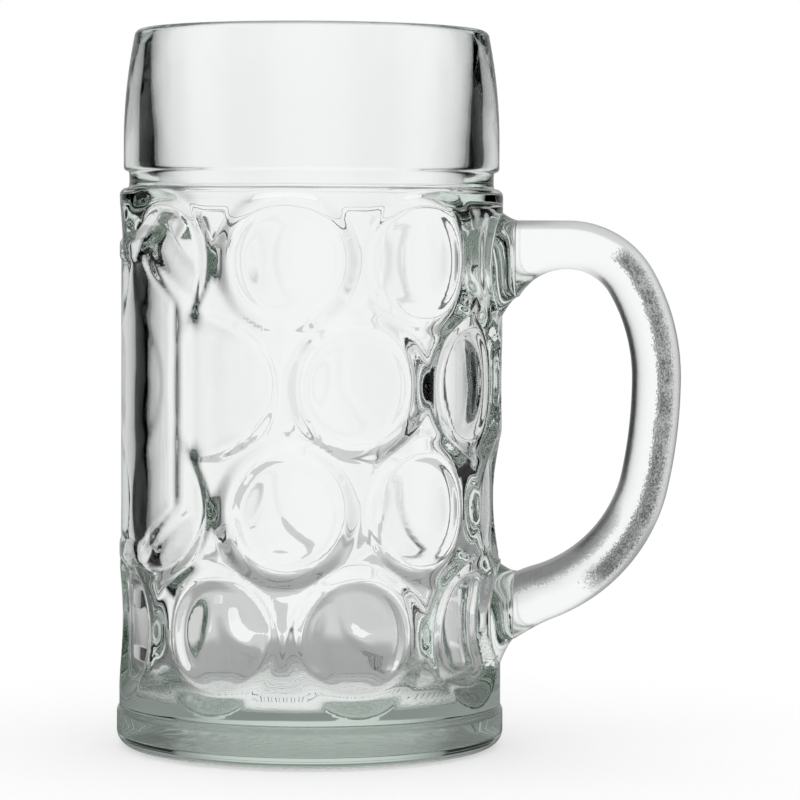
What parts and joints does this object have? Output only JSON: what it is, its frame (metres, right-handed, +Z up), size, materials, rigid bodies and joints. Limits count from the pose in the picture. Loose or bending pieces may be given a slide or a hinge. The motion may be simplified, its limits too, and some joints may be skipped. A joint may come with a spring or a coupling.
{
  "type": "dimpled glass beer mug",
  "caption": "Tall glass beer mug with rows of round dimples, a plain rim band above a groove, a bare label panel and a solid glass handle welded on by two collars.",
  "frame": {"origin": "middle of the flat foot ring, on the table", "axes": "+Z up along the mug's axis, +X towards the handle, -X towards the bare label panel"},
  "size_m": [0.1578, 0.1086, 0.2],
  "materials": {
    "body_glass": "clear, fire polished",
    "collar_glass": "clear, faintly green where thick",
    "handle_glass": "clear, lightly grained along the outer face"
  },
  "bodies": {
    "root": {"mug_body": "body_glass", "upper_collar": "collar_glass", "lower_collar": "collar_glass", "handle": "handle_glass"}
  },
  "joints": []
}
